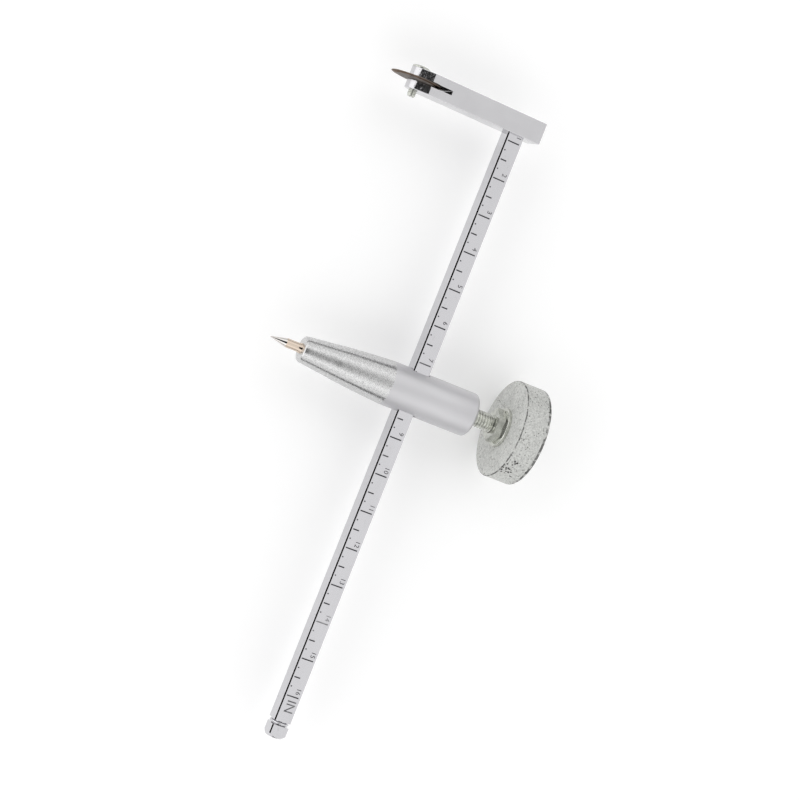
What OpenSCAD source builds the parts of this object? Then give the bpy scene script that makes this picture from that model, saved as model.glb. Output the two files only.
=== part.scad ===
// Circle marking gauge for board: a turned handle with a centre pin, a graduated square
// beam that slides through it, a fork head with a bevelled wheel, and a clamp screw with
// a round knob. +X runs along the handle towards the knob, +Y along the beam towards the
// head, +Z is square to both. The origin is where the centre pin leaves the nose.

/* [Handle] */
// Length of the handle from nose face to rear face
handle_len = 61.5; // [50:0.1:80]
// Radius of the handle's straight part
handle_r = 7.3; // [6:0.1:10]
// Radius of the nose face
nose_r = 4.25; // [3:0.05:6]
// Length of the tapered part
taper_len = 30.5; // [20:0.5:40]
// Extra radius in the middle of the taper, which makes it bow out
taper_bow = 0.25; // [0:0.05:0.6]
// Distance from the nose to the small shoulder turned in the taper
shoulder_x = 11.5; // [8:0.5:20]
// Height of that shoulder
shoulder_h = 0.2; // [0:0.05:0.5]
// Radius of the nose's edge
nose_round = 0.7; // [0.1:0.05:1.2]
// Radius of the rear edge
rear_round = 1.1; // [0.3:0.1:2]

/* [Centre pin] */
// Radius of the centre pin
pin_r = 1.5; // [1:0.05:2.5]
// Straight part of the pin outside the nose
pin_shank = 5.4; // [2:0.1:10]
// Length of the pin's point
pin_point = 5.4; // [2:0.1:8]
// Length of the pin held inside the nose
pin_seat = 12; // [6:0.5:20]
// Radius of the part held inside the nose
pin_seat_r = 1.7; // [1.2:0.05:2.7]
// Radius of the flat at the very tip
pin_tip_r = 0.12; // [0.05:0.01:0.4]

/* [Beam] */
// Width of the square beam
beam_w = 5.85; // [4:0.05:8]
// Distance from the nose face to the middle of the beam
beam_x = 39.5; // [34:0.5:50]
// Rounding of the beam's long edges
beam_round = 0.45; // [0.2:0.05:1]
// Length of one unit of the scale
unit = 12.7; // [10:0.1:25.4]
// Number of whole units marked
units = 16; // [4:1:16]
// Parts that each unit is divided into
divisions = 4; // [2:2:8]
// Distance from the last whole mark to the beam's free end
beam_tail = 14.4; // [8:0.1:20]
// Size of the bevel turned on the free end
end_bevel = 1.2; // [0.4:0.1:2]
// Width of a scale mark
mark_w = 0.22; // [0.1:0.02:0.4]
// Depth of a scale mark
mark_d = 0.12; // [0.05:0.01:0.3]
// Length of a whole, a half and the smallest mark
mark_len = [4.3, 1.8, 0.8];

/* [Stop ring] */
// Distance from the last whole mark to the ring
ring_below = 9.5; // [6:0.1:12]
// Radius of the ring's wire
ring_wire_r = 0.42; // [0.3:0.02:0.6]
// How far the ring stands out of the beam's flats
ring_stand = 0.3; // [0.2:0.05:0.6]
// Width of the ring's groove
groove_w = 1.5; // [0.9:0.1:2.5]
// Opening between the ring's ends
ring_gap = 1.6; // [0.5:0.1:3]

/* [Head] */
// Distance from the handle's axis to the wheel's plane, measured along the beam
wheel_y = 92; // [70:0.5:120]
// Height of the head, measured along the beam
head_h = 7; // [5:0.1:10]
// Depth of the head, front to back
head_d = 10; // [8:0.1:14]
// Length of the head past the beam's middle, on the knob side
head_over = 7.7; // [5:0.1:12]
// Distance from the nose face to the wheel's axis
axle_x = 2.8; // [0:0.1:10]
// Radius of the fork's rounded tip
tip_r = 3.75; // [3:0.05:4.5]
// Distance from the wheel's axis to the centre of that rounding
tip_shift = 0.8; // [0:0.1:2]
// Distance from the wheel's axis to where the head has its full depth
full_depth_at = 3.65; // [2:0.05:6]
// Distance from the wheel's axis to the bottom of the slot
slot_len = 10.7; // [9:0.1:15]
// Width of the slot
slot_w = 1.36; // [1.2:0.02:2]
// Distance from the wheel's plane down to the scale's first mark
first_mark = 6; // [4:0.1:8]

/* [Wheel] */
// Radius of the cutter wheel
wheel_r = 8.7; // [7:0.1:10]
// Thickness of the wheel at its flats
wheel_t = 1.1; // [0.8:0.05:1.3]
// Width of the bevel on each side
wheel_bevel = 3.4; // [1:0.1:5]
// Thickness of the edge
edge_t = 0.1; // [0.05:0.01:0.3]

/* [Axle screw] */
// Radius of the axle screw
axle_r = 1.5; // [1:0.05:2]
// Radius of the screw's head
axle_head_r = 3; // [2.5:0.05:4]
// Height of the screw's head
axle_head_h = 1.1; // [0.8:0.1:2]
// Length of the screw that stands out under the head block
axle_tail = 2.3; // [0:0.1:4]

/* [Tenon] */
// Radius of the beam's round tenon in the head block
tenon_r = 2.2; // [1.5:0.05:2.6]
// Extra radius of the tenon's riveted end
rivet_flare = 0.6; // [0.3:0.05:1]

/* [Clamp screw] */
// Radius of the clamp screw
stud_r = 2.93; // [2.4:0.01:4]
// Depth of the screw's thread
thread_d = 0.5; // [0.3:0.05:0.8]
// Pitch of the thread
pitch = 1; // [0.7:0.05:1.5]
// Bare thread between the handle and the lock nut
stud_bare = 8; // [5:0.1:14]
// Lock nut across its flats
nut_af = 10; // [8:0.1:13]
// Thickness of the lock nut
nut_t = 2.9; // [2:0.1:5]
// Radius of the washer
washer_r = 6.7; // [5:0.1:9]
// Thickness of the washer
washer_t = 1.2; // [0.8:0.1:2.5]
// Radius of the knob
knob_r = 16.5; // [12:0.1:22]
// Thickness of the knob
knob_t = 9.2; // [6:0.1:14]
// Depth of the screw in the knob
knob_seat = 7.6; // [4:0.1:12]
// Rounding of the knob's front edge
knob_front_round = 0.35; // [0.2:0.05:1]
// Bevel of the knob's rear edge
knob_rear_bevel = 0.8; // [0.3:0.05:2]

/* [Hidden] */
// Clearances: a piece that turns or slides in a round hole, a piece pressed in a hole,
// the beam in its square window, and the clamp screw's tip at the beam
run_gap = 0.05;
press_gap = 0.01;
beam_gap = 0.06;
beam_gap_z = 0.1;
window_slack = 0.45;
tip_gap = 0.04;
eps = 0.01;
$fn = 96;

half_w = beam_w / 2;
first_mark_y = wheel_y - first_mark;
last_mark_y = first_mark_y - (units - 1) * unit;
beam_end_y = last_mark_y - beam_tail;
ring_y = last_mark_y - ring_below;
ring_r = half_w + ring_stand - ring_wire_r;
groove_r = ring_r - ring_wire_r - press_gap;
head_low = wheel_y - head_h / 2;
head_top = wheel_y + head_h / 2;
head_end_x = beam_x + head_over;
stud_x0 = beam_x + half_w + tip_gap;
nut_x = handle_len + stud_bare;
washer_x = nut_x + nut_t;
knob_x = washer_x + washer_t;
stud_bore_r = stud_r + run_gap;
thread_from = handle_len - 8;
thread_turns = floor((nut_x - thread_from) / pitch);

// Turn a profile or cylinder drawn along Z to lie along +X, or along +Y.
module along_x() { rotate([0, 90, 0]) children(); }
module along_y() { rotate([-90, 0, 0]) children(); }

// Radius of the handle at a distance x from the nose: a straight taper with a slight bow.
function taper_r(x) =
    nose_r + (handle_r - nose_r) * x / taper_len + taper_bow * sin(180 * x / taper_len);

// ---- Handle and centre pin ------------------------------------------------

// Outline of the handle, radius against distance from the nose.
module handle_outline() {
    nose_steps = 4;
    rear_steps = 8;
    step_x = (taper_len - shoulder_x) / rear_steps;
    edge = [for (a = [0 : 30 : 60])
        [nose_r - nose_round * (1 - sin(a)), nose_round * (1 - cos(a))]];
    nose = [for (i = [0 : nose_steps])
        let (x = nose_round + (shoulder_x - nose_round) * i / nose_steps)
        [taper_r(x) - shoulder_h * x / shoulder_x, x]];
    flank = [for (i = [0 : rear_steps])
        let (x = shoulder_x + step_x * i) [taper_r(x), x + (i == 0 ? shoulder_h : 0)]];
    rear = [for (a = [0 : 15 : 90])
        [handle_r - rear_round * (1 - cos(a)),
         handle_len - rear_round * (1 - sin(a))]];
    polygon(concat([[0, 0]], edge, nose, flank, rear, [[0, handle_len]]));
}

module beam_window() {
    low_x = beam_x - half_w - beam_gap;
    high_x = beam_x + half_w + window_slack;
    depth = beam_w + 2 * beam_gap_z;
    translate([low_x, -handle_r - 1, -depth / 2])
        cube([high_x - low_x, 2 * handle_r + 2, depth]);
}

module handle_body() {
    color("silver") difference() {
        along_x() rotate_extrude() handle_outline();
        translate([-eps, 0, 0]) along_x() cylinder(r = pin_seat_r + press_gap, h = pin_seat);
        beam_window();
        translate([beam_x, 0, 0]) along_x() cylinder(r = stud_bore_r, h = handle_len);
        translate([handle_len - 0.5, 0, 0]) along_x()
            cylinder(r1 = stud_bore_r, r2 = stud_bore_r + 0.5, h = 0.5 + eps);
    }
}

module centre_pin() {
    seat = pin_seat - 0.2;
    color("gainsboro") along_x() rotate_extrude()
        polygon([[0, -pin_shank - pin_point], [pin_tip_r, -pin_shank - pin_point],
                 [pin_r, -pin_shank], [pin_r, 0], [pin_seat_r, 0],
                 [pin_seat_r, seat - 0.4], [pin_seat_r - 0.4, seat], [0, seat]]);
}

// ---- Beam and stop ring ---------------------------------------------------

// Square section with rounded corners.
module beam_section() {
    inner = half_w - beam_round;
    square([beam_w, 2 * inner], center = true);
    square([2 * inner, beam_w], center = true);
    for (x = [-inner, inner], y = [-inner, inner])
        translate([x, y]) circle(r = beam_round, $fn = 24);
}

// One mark cut across the front face, starting inside the rounded edge.
module scale_mark(i) {
    kind = i % divisions == 0 ? 0 : i % (divisions / 2) == 0 ? 1 : 2;
    translate([beam_x - half_w + beam_round, first_mark_y - i * unit / divisions - mark_w / 2,
               half_w - mark_d])
        cube([mark_len[kind], mark_w, mark_d + 1]);
}

// Bevel turned on the beam's free end.
module end_turning() {
    far = beam_w;
    corner = half_w * sqrt(2) - beam_round * (sqrt(2) - 1);
    translate([beam_x, beam_end_y, 0]) along_y() rotate_extrude()
        polygon([[corner - end_bevel, -1], [corner - end_bevel, 0], [corner, end_bevel],
                 [far, end_bevel], [far, -1]]);
}

module ring_groove() {
    translate([beam_x, ring_y - groove_w / 2, 0]) along_y() difference() {
        cylinder(r = beam_w, h = groove_w);
        translate([0, 0, -1]) cylinder(r = groove_r, h = groove_w + 2);
    }
}

// Round tenon through the head block, with a riveted end in the block's countersink.
module tenon() {
    translate([beam_x, head_low - eps, 0]) along_y() {
        cylinder(r = tenon_r, h = head_h + eps);
        translate([0, 0, head_h + eps - rivet_flare])
            cylinder(r1 = tenon_r, r2 = tenon_r + rivet_flare, h = rivet_flare);
    }
}

module beam() {
    color("lightgray") union() {
        difference() {
            translate([beam_x, beam_end_y, 0]) along_y()
                linear_extrude(head_low - beam_end_y) beam_section();
            ring_groove();
            end_turning();
            for (i = [0 : (units - 1) * divisions]) scale_mark(i);
        }
        tenon();
    }
}

module stop_ring() {
    color("dimgray") translate([beam_x, ring_y, 0]) along_y() difference() {
        rotate_extrude() translate([ring_r, 0]) circle(r = ring_wire_r, $fn = 32);
        translate([-ring_gap / 2, 0, -2]) cube([ring_gap, beam_w, 4]);
    }
}

// ---- Head -----------------------------------------------------------------

// Plan of the fork's flanks: tangent to the round tip, opening to the full depth.
module head_plan() {
    reach = norm([full_depth_at - tip_shift, head_d / 2]);
    lean = atan2(head_d / 2, full_depth_at - tip_shift) + acos(tip_r / reach);
    touch = [axle_x + tip_shift + tip_r * cos(lean), tip_r * sin(lean)];
    full = [axle_x + full_depth_at, head_d / 2];
    polygon([[touch[0], -touch[1]], [full[0], -full[1]], [head_end_x, -full[1]],
             [head_end_x, full[1]], full, touch]);
}

module head_block() {
    color("silver") difference() {
        union() {
            translate([0, head_low, 0]) along_y() linear_extrude(head_h) head_plan();
            translate([axle_x + tip_shift, head_low, 0]) along_y()
                cylinder(r = tip_r, h = head_h);
        }
        translate([-10, wheel_y - slot_w / 2, -head_d])
            cube([axle_x + slot_len + 10, slot_w, 2 * head_d]);
        translate([axle_x, head_low - 1, 0]) along_y()
            cylinder(r = axle_r + press_gap, h = head_h + 2);
        translate([beam_x, head_low - 1, 0]) along_y()
            cylinder(r = tenon_r + press_gap, h = head_h + 2);
        translate([beam_x, head_top - rivet_flare, 0]) along_y()
            cylinder(r1 = tenon_r + press_gap, r2 = tenon_r + rivet_flare + press_gap,
                     h = rivet_flare + eps);
    }
}

// Flat disc with a double bevel to a thin edge.
module cutter_wheel() {
    flat_r = wheel_r - wheel_bevel;
    color("tan") translate([axle_x, wheel_y, 0]) along_y() rotate_extrude()
        polygon([[axle_r + run_gap, -wheel_t / 2], [flat_r, -wheel_t / 2],
                 [wheel_r, -edge_t / 2], [wheel_r, edge_t / 2],
                 [flat_r, wheel_t / 2], [axle_r + run_gap, wheel_t / 2]]);
}

// Low domed head on top of the block, shank through both prongs, end standing out below.
module axle_screw() {
    low = -head_h / 2 - axle_tail;
    seat = head_h / 2;
    rim = 0.35;
    dome = [for (a = [0 : 15 : 90])
        [axle_head_r * cos(a), seat + rim + (axle_head_h - rim) * sin(a)]];
    slot_deep = 0.6;
    color("whitesmoke") translate([axle_x, wheel_y, 0]) along_y() difference() {
        rotate_extrude()
            polygon(concat([[0, low], [axle_r - 0.3, low], [axle_r, low + 0.3],
                            [axle_r, seat], [axle_head_r, seat]], dome));
        translate([-axle_head_r - 1, -0.4, seat + axle_head_h - slot_deep])
            cube([2 * axle_head_r + 2, 0.8, 2]);
    }
}

// ---- Clamp screw and knob -------------------------------------------------

// Screw with its thread shown as rings where it can be seen.
module clamp_stud() {
    stud_end = knob_x + knob_seat;
    ridges = [for (i = [0 : thread_turns - 1])
        let (x = thread_from + i * pitch)
        each [[stud_r, x + 0.15 * pitch], [stud_r - thread_d, x + 0.5 * pitch],
              [stud_r, x + 0.85 * pitch]]];
    color("gainsboro") along_x() rotate_extrude()
        polygon(concat([[0, stud_x0], [stud_r - 0.6, stud_x0], [stud_r, stud_x0 + 0.6]],
                       ridges, [[stud_r, stud_end - 0.3], [stud_r - 0.3, stud_end],
                                [0, stud_end]]));
}

// Hexagon nut with both faces turned to a cone at the corners.
module lock_nut() {
    corner_r = nut_af / sqrt(3);
    face_r = nut_af / 2 - 0.35;
    rise = 0.75;
    color("whitesmoke") translate([nut_x, 0, 0]) along_x() difference() {
        intersection() {
            cylinder(r = corner_r, h = nut_t, $fn = 6);
            rotate_extrude()
                polygon([[0, 0], [face_r, 0], [corner_r + 0.1, rise],
                         [corner_r + 0.1, nut_t - rise], [face_r, nut_t], [0, nut_t]]);
        }
        translate([0, 0, -1]) cylinder(r = stud_r + press_gap, h = nut_t + 2);
    }
}

module knob_washer() {
    edge = 0.25;
    color("gainsboro") translate([washer_x, 0, 0]) along_x() rotate_extrude()
        polygon([[stud_r + press_gap, 0], [washer_r - edge, 0], [washer_r, edge],
                 [washer_r, washer_t], [stud_r + press_gap, washer_t]]);
}

module knob() {
    front = [for (a = [0 : 15 : 90])
        [knob_r - knob_front_round * (1 - sin(a)), knob_front_round * (1 - cos(a))]];
    seat = knob_seat + 0.2;
    color("silver") translate([knob_x, 0, 0]) along_x() rotate_extrude()
        polygon(concat([[stud_r + press_gap, 0]], front,
                       [[knob_r, knob_t - knob_rear_bevel],
                        [knob_r - knob_rear_bevel, knob_t], [0, knob_t], [0, seat],
                        [stud_r + press_gap, seat]]));
}

handle_body();
centre_pin();
beam();
stop_ring();
head_block();
cutter_wheel();
axle_screw();
clamp_stud();
lock_nut();
knob_washer();
knob();
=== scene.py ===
import math
import random

import bpy
from bpy.props import FloatProperty, FloatVectorProperty, IntProperty, PointerProperty
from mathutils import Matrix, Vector


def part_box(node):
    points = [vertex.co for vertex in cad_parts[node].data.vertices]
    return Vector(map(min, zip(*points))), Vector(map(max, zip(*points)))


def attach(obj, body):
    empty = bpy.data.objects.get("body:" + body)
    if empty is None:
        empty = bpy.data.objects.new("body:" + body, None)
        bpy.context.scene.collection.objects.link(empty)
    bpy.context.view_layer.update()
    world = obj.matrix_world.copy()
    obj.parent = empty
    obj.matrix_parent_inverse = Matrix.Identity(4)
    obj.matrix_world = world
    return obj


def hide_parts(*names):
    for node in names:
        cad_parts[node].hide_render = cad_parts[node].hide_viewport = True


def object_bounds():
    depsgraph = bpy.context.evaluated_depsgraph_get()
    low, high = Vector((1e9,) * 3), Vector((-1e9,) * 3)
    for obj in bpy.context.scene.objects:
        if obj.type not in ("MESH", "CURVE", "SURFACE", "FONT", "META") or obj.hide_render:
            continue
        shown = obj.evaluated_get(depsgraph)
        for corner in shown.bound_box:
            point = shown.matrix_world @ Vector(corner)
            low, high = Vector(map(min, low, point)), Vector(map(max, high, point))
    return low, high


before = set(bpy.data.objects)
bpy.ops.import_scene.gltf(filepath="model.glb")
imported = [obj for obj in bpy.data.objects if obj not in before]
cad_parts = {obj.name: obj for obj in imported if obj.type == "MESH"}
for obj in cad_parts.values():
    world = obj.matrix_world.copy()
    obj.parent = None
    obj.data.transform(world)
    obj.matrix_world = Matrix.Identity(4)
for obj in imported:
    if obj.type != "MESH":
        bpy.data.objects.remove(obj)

bl_info = {
    "name": "Circle Marking Gauge",
    "version": (1, 0, 0),
    "blender": (4, 5, 0),
    "location": "View3D > Sidebar > Gauge",
    "description": "Builds the detailed pieces of a circle marking gauge around its frame",
    "category": "Add Mesh",
}

MM = 0.001
# Points nearer than this are joined into one.
MERGE = 1e-7
# A hair's breadth, between surfaces that would otherwise fall together.
HAIR = 0.02 * MM
# One thread, as (share of the pitch, share of the depth).
THREAD = [(0.0, 0), (0.12, 0), (0.44, 1), (0.56, 1), (0.88, 0), (1, 0)]
# Turn that lays a shape drawn along Z along the given axis.
LAY_DOWN = {"X": (0, math.pi / 2, 0), "Y": (-math.pi / 2, 0, 0), "Z": (0, 0, 0)}
AXIS = {"X": Vector((1, 0, 0)), "Y": Vector((0, 1, 0)), "Z": Vector((0, 0, 1))}
CAD_BOX = [list(corner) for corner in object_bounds()]


# ---- Sizes read from the frame -------------------------------------------------


def node_low(node, axis):
    """Lowest coordinate of a CAD node along one axis."""
    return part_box(node)[0]["XYZ".index(axis)]


def node_high(node, axis):
    """Highest coordinate of a CAD node along one axis."""
    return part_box(node)[1]["XYZ".index(axis)]


def node_span(node, axis):
    """Size of a CAD node along one axis."""
    return node_high(node, axis) - node_low(node, axis)


def node_middle(node, axis):
    """Middle of a CAD node along one axis."""
    return (node_high(node, axis) + node_low(node, axis)) / 2


BEAM_X = node_middle("beam", "X")
BEAM_WIDTH = node_span("beam", "X")
HEAD_LOW_Y = node_low("head_block", "Y")
HEAD_TOP_Y = node_high("head_block", "Y")
WHEEL_CENTRE = Vector([node_middle("cutter_wheel", axis) for axis in "XYZ"])


# ---- Settings ------------------------------------------------------------------


def length(name, description, millimetres):
    """A length setting whose default is given in millimetres."""
    return FloatProperty(
        name=name,
        description=description,
        default=millimetres * MM,
        precision=5,
        unit="LENGTH",
        subtype="DISTANCE",
    )


def colour(name, description, value):
    """A colour setting."""
    return FloatVectorProperty(
        name=name, description=description, default=value, min=0.0, max=1.0, size=3, subtype="COLOR"
    )


def share(name, description, value):
    """A setting between 0 and 1."""
    return FloatProperty(
        name=name, description=description, default=value, min=0.0, max=1.0, subtype="FACTOR"
    )


def number(name, description, value):
    """A plain number setting."""
    return FloatProperty(name=name, description=description, default=value)


class GaugeHandleSettings(bpy.types.PropertyGroup):
    nose_radius: length("Nose radius", "Radius of the nose face", 4.25)
    nose_round: length("Nose edge", "Rounding of the nose's edge", 0.7)
    taper_length: length("Taper", "Length of the tapered part", 30.5)
    taper_bow: length("Bow", "Extra radius in the middle of the taper", 0.25)
    shoulder_at: length("Shoulder", "Distance from the nose to the turned shoulder", 11.5)
    shoulder_height: length("Shoulder height", "Height of the turned shoulder", 0.09)
    shoulder_width: length("Shoulder width", "Length over which the shoulder rises", 3.6)
    rear_round: length("Rear edge", "Rounding of the rear edge", 1.1)
    window_slack: length("Window slack", "Room in the window on the clamp screw's side", 0.45)
    window_gap: length("Window gap", "Room in the window on the other sides", 0.1)
    pin_flare: length("Pin flare", "Extra radius of the centre pin's root", 0.28)
    pin_flare_length: length("Flare length", "Length of the centre pin's flared root", 1.3)
    pin_point: length("Pin point", "Length of the centre pin's point", 5.4)


class GaugeBeamSettings(bpy.types.PropertyGroup):
    edge_flat: length("Edge flat", "Width taken off each face beside a long edge", 0.56)
    mark_inset: length("Mark inset", "From that strip to the start of a mark", 0.4)
    edge_tilt: number("Edge tilt", "How far that strip leans, in degrees", 21.0)
    edge_round: length("Edges", "Rounding of the beam's long edges", 0.08)
    unit: length("Unit", "Length of one unit of the scale", 12.7)
    first_mark: length("First mark", "From the wheel's plane down to the first mark", 6.0)
    mark_width: length("Mark width", "Width of a scale mark", 0.42)
    mark_depth: length("Mark depth", "Depth of the marks and numerals", 0.1)
    whole_mark: length("Whole mark", "Length of a whole mark", 4.1)
    half_mark: length("Half mark", "Length of a half mark", 2.1)
    small_mark: length("Small mark", "Length of the smallest mark", 0.45)
    numeral_size: length("Numerals", "Size of the scale's numerals", 2.3)
    numeral_lift: length("Numeral lift", "From a mark to the middle of its numeral", 1.85)
    word_drop: length("Word drop", "From the last mark to the middle of the unit word", 3.4)
    word_size: length("Unit word", "Size of the unit's abbreviation", 4.4)
    end_bevel: length("End bevel", "Bevel turned on the free end", 1.2)
    groove_width: length("Groove", "Width of the stop ring's groove", 1.5)
    ring_wire: length("Ring wire", "Radius of the stop ring's wire", 0.42)
    units: IntProperty(name="Units", description="Number of whole marks", default=16, min=2)
    divisions: IntProperty(name="Divisions", description="Parts of a unit", default=4, min=2)


class GaugeHeadSettings(bpy.types.PropertyGroup):
    tip_radius: length("Tip", "Radius of the fork's rounded tip", 3.75)
    tip_shift: length("Tip shift", "From the wheel's axis to the tip's centre", 0.8)
    full_depth_at: length("Full depth", "From the wheel's axis to the full depth", 3.65)
    slot_length: length("Slot", "From the wheel's axis to the slot's end", 10.7)
    slot_width: length("Slot width", "Width of the wheel's slot", 1.36)
    edge_bevel: length("Edges", "Bevel of the head's edges", 0.16)
    wheel_bevel: length("Wheel bevel", "Width of the bevel on each side of the wheel", 3.4)
    wheel_edge: length("Wheel edge", "Thickness of the wheel's edge", 0.1)
    ground_edge: length("Ground edge", "Width of the bright ground edge", 1.8)
    axle_radius: length("Axle", "Radius of the axle screw", 1.5)
    axle_head: length("Axle head", "Height of the axle screw's head", 1.1)
    axle_pitch: length("Axle pitch", "Pitch of the axle screw's thread", 0.5)
    rivet_radius: length("Rivet", "Radius of the riveted tenon", 2.8)


class GaugeClampSettings(bpy.types.PropertyGroup):
    pitch: length("Pitch", "Pitch of the clamp screw's thread", 1.0)
    thread_depth: length("Thread depth", "Depth of the clamp screw's thread", 0.5)
    knob_front_round: length("Front edge", "Rounding of the knob's front edge", 0.35)
    knob_rear_bevel: length("Rear edge", "Bevel of the knob's rear edge", 0.8)
    # Painted shade: this strip and the rear bevel are painted dark for the dark line along the
    # knob's outline.
    knob_rear_stain: length("Rear stain", "Width of the shaded strip before the rear edge", 0.35)
    pit_count: IntProperty(name="Pits", description="Pits all round the rim", default=150)
    cluster_count: IntProperty(name="Cluster", description="Pits in the cluster", default=26)
    cluster_angle: number("Cluster place", "Where the cluster lies round the rim, in degrees", 134)
    nick_count: IntProperty(name="Nicks", description="Nicks in the front edge", default=36)
    seed: IntProperty(name="Seed", description="Order of the pits and nicks", default=7)
    washer_round: length("Washer edge", "Rounding of the washer's edge", 0.25)


class GaugeFinishSettings(bpy.types.PropertyGroup):
    turned: colour("Turned metal", "Colour of the handle's taper", (0.60, 0.60, 0.60))
    satin: colour("Satin metal", "Colour of the barrel and the head", (0.60, 0.595, 0.61))
    plated: colour("Plated bar", "Colour of the beam", (0.62, 0.615, 0.635))
    ink: colour("Marks", "Colour inside the scale's marks", (0.04, 0.04, 0.045))
    straw: colour("Straw steel", "Colour of the centre pin", (0.68, 0.575, 0.48))
    bright: colour("Bright steel", "Colour of the pin's polished point", (0.80, 0.78, 0.76))
    wheel: colour("Wheel steel", "Colour of the cutter wheel", (0.105, 0.09, 0.08))
    wheel_edge: colour("Wheel edge", "Colour of the wheel's ground bevel", (0.24, 0.205, 0.18))
    zinc: colour("Zinc plate", "Colour of the screws, nut and washer", (0.66, 0.67, 0.62))
    cast: colour("Cast metal", "Colour of the knob", (0.6, 0.605, 0.585))
    # The pit colour is also darkened for the painted shade on the walls of the head's slot.
    pit: colour("Pits", "Colour inside the casting pits", (0.05, 0.05, 0.045))
    wear: share("Wear", "How strongly stains and scuffs show", 0.5)


class GaugeStageSettings(bpy.types.PropertyGroup):
    floor_colour: colour("Floor", "Colour of the floor", (0.95, 0.95, 0.95))
    floor_glow: number("Floor glow", "Light of the lit sheet itself", 0.1)
    floor_size: length("Floor size", "Width of the floor", 400)
    sky: number("Sky", "Brightness of the white surround", 1.05)
    panel_level: number("Side panels", "Brightness of the panels along the beam", 1.25)
    panel_low: number("Panel start", "Where the side panels start, as a sine", 0.5)
    panel_high: number("Panel end", "Where the side panels end, as a sine", 0.76)
    pin_side_level: number("Pin-side panel", "Brightness of the panel on the pin's side", 1.6)
    dark_height: number("Dark band", "Top of the dark band round the floor, as a sine", 0.1)
    head_side_level: number("Head side", "Brightness towards the beam's head end", 0.93)
    dark_inner: number("Dark inner", "Angle of the black behind the camera, in degrees", 19.0)
    dark_outer: number("Dark outer", "Angle at which the black has faded, in degrees", 27.0)
    lens: FloatProperty(name="Lens", description="Focal length in millimetres", default=99.0)
    camera_place: FloatVectorProperty(
        name="Camera place",
        description="Where the camera stands",
        default=(-0.2060, 0.00225, 0.66106),
        size=3,
        unit="LENGTH",
        subtype="XYZ",
    )
    camera_turn: FloatVectorProperty(
        name="Camera turn",
        description="How the camera is turned",
        default=[math.radians(a) for a in (-8.192, -18.532, 22.972)],
        size=3,
        unit="ROTATION",
        subtype="EULER",
    )


# ---- Modelling steps -----------------------------------------------------------


def clear_selection():
    """Leave edit mode and deselect everything."""
    if bpy.context.object and bpy.context.object.mode != "OBJECT":
        bpy.ops.object.mode_set(mode="OBJECT")
    bpy.ops.object.select_all(action="DESELECT")


def pick(piece):
    """Make one piece the only selected and active object."""
    clear_selection()
    piece.select_set(True)
    bpy.context.view_layer.objects.active = piece


def settle(piece, name):
    """Name a piece and put its place into its mesh."""
    pick(piece)
    piece.name = name
    piece.data.name = name
    bpy.ops.object.transform_apply(location=True, rotation=True, scale=True)
    return piece


def edit(piece, select="SELECT"):
    """Open a piece in edit mode with all or nothing selected."""
    pick(piece)
    bpy.ops.object.mode_set(mode="EDIT")
    bpy.ops.mesh.select_mode(type="VERT")
    bpy.ops.mesh.select_all(action=select)


def close_edit():
    """Point the faces outwards and leave edit mode."""
    bpy.ops.mesh.select_all(action="SELECT")
    bpy.ops.mesh.normals_make_consistent(inside=False)
    bpy.ops.object.mode_set(mode="OBJECT")


def apply_modifier(piece, kind, **settings):
    """Add one modifier with its settings and apply it."""
    pick(piece)
    bpy.ops.object.modifier_add(type=kind)
    modifier = piece.modifiers[-1]
    for key, value in settings.items():
        setattr(modifier, key, value)
    bpy.ops.object.modifier_apply(modifier=modifier.name)


def cut(piece, cutter, operation="DIFFERENCE", crossing=False):
    """Take a cutter's shape out of a piece, or keep what they share, and drop the cutter."""
    apply_modifier(
        piece, "BOOLEAN", object=cutter, operation=operation, solver="EXACT", use_self=crossing
    )
    bpy.data.objects.remove(cutter)


def smooth(piece, degrees=30):
    """Shade a piece smooth up to an angle between faces, with big faces kept flat."""
    pick(piece)
    bpy.ops.object.shade_smooth_by_angle(angle=math.radians(degrees))
    apply_modifier(piece, "WEIGHTED_NORMAL", keep_sharp=True, weight=100)


def join(first, *others):
    """Join pieces into the first one."""
    clear_selection()
    for piece in (first, *others):
        piece.select_set(True)
    bpy.context.view_layer.objects.active = first
    bpy.ops.object.join()
    return first


def box_piece(name, low, high):
    """A block between two corners."""
    clear_selection()
    middle = (Vector(low) + Vector(high)) / 2
    bpy.ops.mesh.primitive_cube_add(size=1, location=middle, scale=Vector(high) - Vector(low))
    return settle(bpy.context.object, name)


def draw_rings(axis, centre, outline):
    """Extrude the selected ring along an outline of (distance, radius) points."""
    along = AXIS[axis]
    for (start, radius), (end, next_radius) in zip(outline, outline[1:]):
        bpy.ops.mesh.extrude_region_move(TRANSFORM_OT_translate={"value": along * (end - start)})
        factor = next_radius / radius
        scale = [1.0 if along[i] else factor for i in range(3)]
        bpy.ops.transform.resize(value=scale, center_override=centre + along * end)


def turned(name, axis, centre, outline, sides, fill):
    """Draw rings along an axis, starting from a circle that is filled or left open."""
    centre = Vector(centre)
    start, radius = outline[0]
    clear_selection()
    bpy.ops.mesh.primitive_circle_add(
        vertices=sides,
        radius=radius,
        fill_type=fill,
        location=centre + AXIS[axis] * start,
        rotation=LAY_DOWN[axis],
    )
    piece = settle(bpy.context.object, name)
    edit(piece)
    draw_rings(axis, centre, outline)
    return piece


def turned_piece(name, axis, centre, outline, sides):
    """A solid of revolution, closed at both ends."""
    piece = turned(name, axis, centre, outline, sides, "NGON")
    close_edit()
    return piece


def turned_ring(name, axis, centre, outline, sides):
    """A ring of revolution, whose outline comes back to its first point."""
    piece = turned(name, axis, centre, outline + [outline[0]], sides, "NOTHING")
    bpy.ops.mesh.select_all(action="SELECT")
    bpy.ops.mesh.remove_doubles(threshold=MERGE)
    close_edit()
    return piece


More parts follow.
